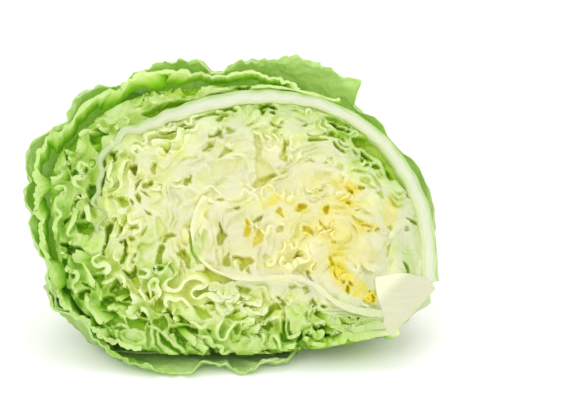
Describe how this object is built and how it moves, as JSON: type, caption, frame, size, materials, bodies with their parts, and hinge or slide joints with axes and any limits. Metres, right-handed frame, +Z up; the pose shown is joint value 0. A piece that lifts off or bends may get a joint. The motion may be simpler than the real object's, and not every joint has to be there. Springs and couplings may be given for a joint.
{
  "type": "iceberg lettuce half",
  "caption": "Half of an iceberg lettuce, cut lengthwise through the stem: folded packed leaves round a yellow heart, a thick white rib and loose outer leaves.",
  "frame": {"origin": "centre of the bounding box's bottom", "axes": "+X towards the cut stem, along the head's length; +Y away from the cut face, towards the rounded back; +Z up. The cut face looks along -Y and leans back by 30 degrees."},
  "size_m": [0.1836, 0.1038, 0.1206],
  "materials": {
    "stem_cream": "moist cut stem",
    "heart_yellow": "crisp yellow leaf",
    "inner_green": "crisp pale leaf",
    "rib_white": "moist white rib",
    "leaf_green": "smooth green leaf"
  },
  "bodies": {
    "root": {"stem_core": "stem_cream", "heart_leaves": "heart_yellow", "inner_leaves": "inner_green", "band_leaf": "rib_white", "outer_leaves": "leaf_green", "back_leaf": "leaf_green", "crown_leaf": "leaf_green", "top_leaf": "leaf_green", "bottom_leaf": "leaf_green"}
  },
  "joints": []
}
